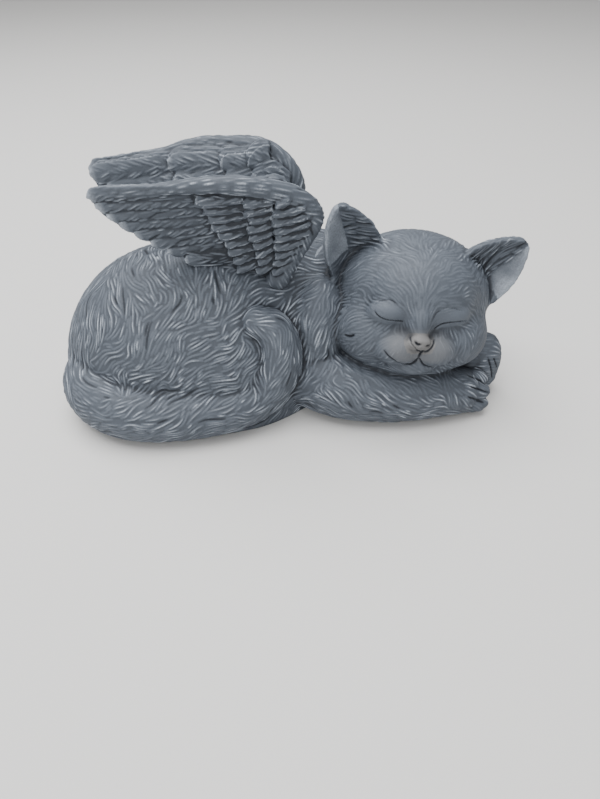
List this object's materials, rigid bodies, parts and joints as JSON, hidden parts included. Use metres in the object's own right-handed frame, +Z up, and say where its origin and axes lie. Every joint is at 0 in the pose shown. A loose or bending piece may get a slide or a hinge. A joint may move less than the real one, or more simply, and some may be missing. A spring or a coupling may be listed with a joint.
{
  "type": "pet memorial statue",
  "caption": "Cast figure of a kitten asleep on its forelegs with its tail curled round it and feathered wings raised from its back.",
  "frame": {"origin": "on the flat underside, below the middle of the figure", "axes": "+Z up, +X along the body towards the head, and -Y the side that the face and the tail lie on"},
  "size_m": [0.1192, 0.0653, 0.0632],
  "materials": {
    "grey_resin": "matt blue-grey cast resin, darker in its recesses and dry-brushed pale along its ridges"
  },
  "bodies": {
    "root": {"winged_sleeping_kitten": "grey_resin"}
  },
  "joints": []
}
